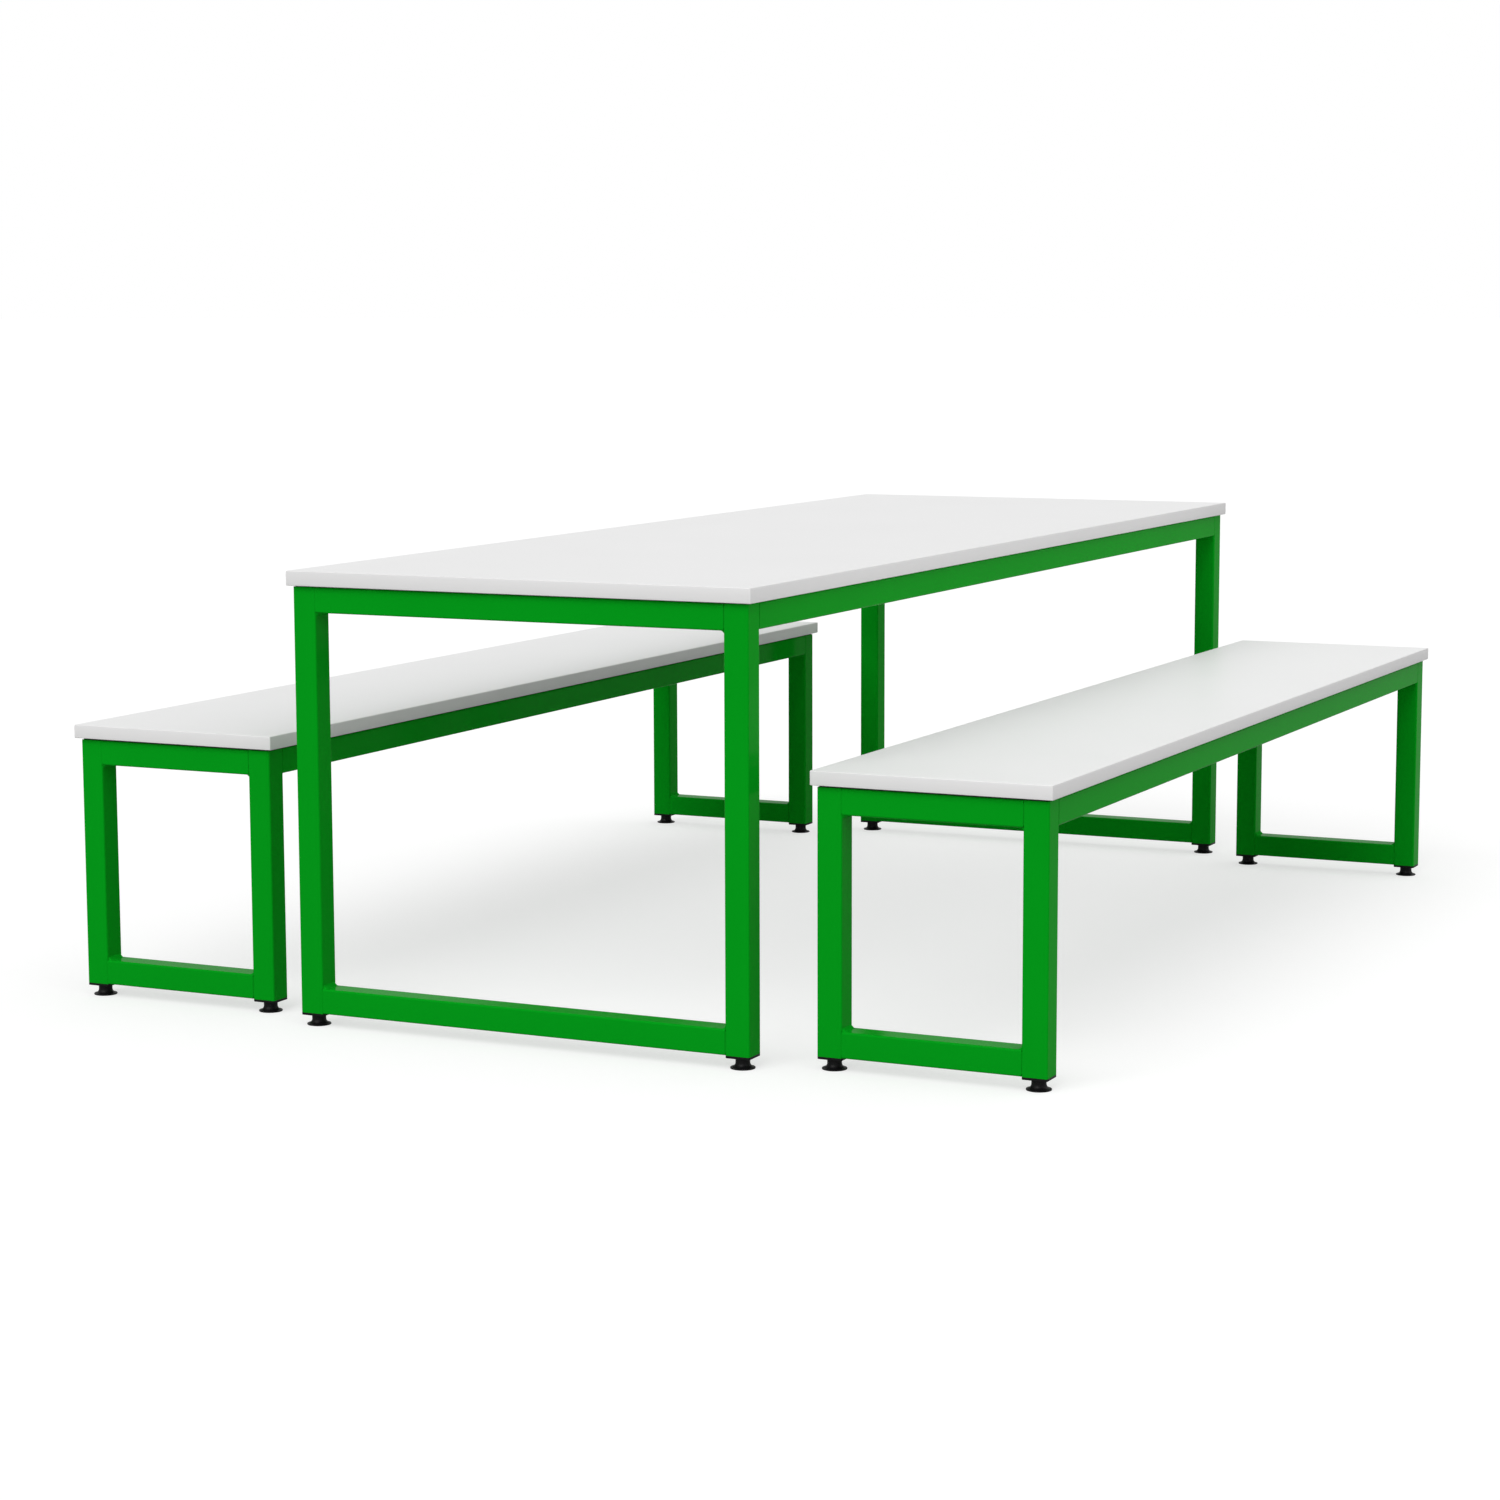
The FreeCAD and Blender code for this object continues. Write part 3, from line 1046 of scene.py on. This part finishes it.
@dataclass
class Studio:
    """A white studio: an endless pale floor, a soft dome of light and the camera."""

    floor_half: float = 150.0
    floor_colour: Colour = (0.43, 0.43, 0.43)
    floor_glow: float = 0.62    # added where the camera sees the floor, which keeps its shadow
    dome_level: float = 0.12    # radiance of the dome where it is darkest
    dome_rise: float = 1.00     # how much brighter its brightest part is
    dome_tilt: float = 30.0     # degrees from overhead to that part, on the right
    dome_mirror: float = 0.5    # share of white in what reflections see of the dome
    floor_mirror: float = 0.2   # share of its glow in what reflections see of the floor
    key_strength: float = 1.55  # of the wide soft light from the camera's side
    key_spread: float = 50.0    # degrees across
    key_azimuth: float = -8.0   # degrees to the right of the table's end
    key_elevation: float = 38.0
    sight: float = 600.0        # how far the camera sees
    focal_pixels: float = 3420.0
    sensor: float = 36.0        # millimetres
    eye: tuple[float, float, float] = (2.5364, -5.5933, 1.1399)
    yaw: float = 25.568         # degrees
    pitch: float = -7.556
    roll: float = -0.163

    def backdrop(self, graph: ShaderGraph, mirror: float) -> Signal:
        """Return how much of the white backdrop a ray sees: all, a share of it or none.

        Args:
            graph: The node tree that asks.
            mirror: The share of it in reflections.

        Returns:
            1 for the camera and through glass, the share in reflections, else 0.
        """
        direct = graph.node("ShaderNodeLightPath", output="Is Camera Ray")
        through = graph.node("ShaderNodeLightPath", output="Is Transmission Ray")
        mirrored = graph.node("ShaderNodeLightPath", output="Is Glossy Ray")
        return direct + through + mirrored * mirror

    def build_floor(self) -> None:
        """Lay the floor, which glows to the camera and still shows the shadows on it."""
        work = bmesh.new()
        bmesh.ops.create_grid(work, x_segments=1, y_segments=1, size=self.floor_half)
        mesh = bpy.data.meshes.new("floor")
        work.to_mesh(mesh)
        work.free()
        made = bpy.data.materials.new("floor_white")
        made.use_nodes = True
        graph = ShaderGraph(made.node_tree)
        matt = graph.node("ShaderNodeBsdfDiffuse", {}, {"Color": (*self.floor_colour, 1.0)})
        glow = graph.node("ShaderNodeEmission", {}, {"Strength": self.floor_glow})
        pale = graph.node("ShaderNodeAddShader", {}, {0: matt, 1: glow})
        seen = self.backdrop(graph, self.floor_mirror)
        both = graph.node("ShaderNodeMixShader", {}, {0: seen, 1: matt, 2: pale})
        graph.node("ShaderNodeOutputMaterial", {}, {"Surface": both})
        mesh.materials.append(made)
        floor = bpy.data.objects.new("floor", mesh)
        bpy.context.scene.collection.objects.link(floor)

    def build_dome(self) -> None:
        """Light the studio from a dome that is white to the camera and in reflections."""
        world = bpy.data.worlds.new("studio_dome")
        world.use_nodes = True
        graph = ShaderGraph(world.node_tree)
        direction = graph.node("ShaderNodeTexCoord", output="Generated")
        tilt = math.radians(self.dome_tilt)
        brightest = (math.sin(tilt), 0, math.cos(tilt))
        nearness = graph.node("ShaderNodeVectorMath", {"operation": "DOT_PRODUCT"}, {
            0: direction, 1: brightest,
        }, output="Value")
        rise = graph.node("ShaderNodeClamp", {}, {"Value": nearness})
        faint, strong, white = (
            graph.node("ShaderNodeBackground", {}, {"Color": (1, 1, 1, 1), "Strength": strength})
            for strength in (self.dome_level, self.dome_level + self.dome_rise, 1.0)
        )
        light = graph.node("ShaderNodeMixShader", {}, {0: rise, 1: faint, 2: strong})
        seen = self.backdrop(graph, self.dome_mirror)
        both = graph.node("ShaderNodeMixShader", {}, {0: seen, 1: light, 2: white})
        graph.node("ShaderNodeOutputWorld", {}, {"Surface": both})
        bpy.context.scene.world = world

    def build_key(self) -> None:
        """Add the soft light that falls on the table's near end."""
        lamp = bpy.data.lights.new("key", "SUN")
        lamp.energy = self.key_strength
        lamp.angle = math.radians(self.key_spread)
        key = bpy.data.objects.new("key", lamp)
        turn = Matrix.Rotation(math.radians(self.key_azimuth), 4, "Z")
        key.matrix_world = turn @ Matrix.Rotation(math.radians(90 - self.key_elevation), 4, "X")
        bpy.context.scene.collection.objects.link(key)

    def build_camera(self) -> None:
        """Set the camera up at the picture's viewpoint."""
        lens = bpy.data.cameras.new("camera")
        lens.sensor_width = self.sensor
        lens.lens = self.focal_pixels / IMAGE_SIDE * self.sensor
        lens.clip_end = self.sight
        camera = bpy.data.objects.new("camera", lens)
        turn = Matrix.Rotation(math.radians(self.yaw), 4, "Z")
        tilt = Matrix.Rotation(math.radians(90 + self.pitch), 4, "X")
        lean = Matrix.Rotation(math.radians(self.roll), 4, "Z")
        camera.matrix_world = Matrix.Translation(self.eye) @ turn @ tilt @ lean
        bpy.context.scene.collection.objects.link(camera)
        bpy.context.scene.camera = camera

    def build(self) -> None:
        """Build the floor, the light and the camera."""
        self.build_floor()
        self.build_dome()
        self.build_key()
        self.build_camera()
        bpy.context.scene.view_settings.view_transform = "Standard"


def main() -> None:
    """Build the studio and the three units."""
    logging.basicConfig(level=logging.INFO, format="%(name)s: %(message)s")
    Studio().build()
    wardrobe = Wardrobe(FINISHES)
    # the black tape under each board is painted shade; it is thicker under the benches, whose shadow line
    # is darker
    units = (Unit("table", TABLE_SHADOW_TAPE), Unit("left_bench", BENCH_SHADOW_TAPE), Unit("right_bench", BENCH_SHADOW_TAPE))
    for unit in units:
        unit.build(wardrobe)


if __name__ == "__main__":
    main()
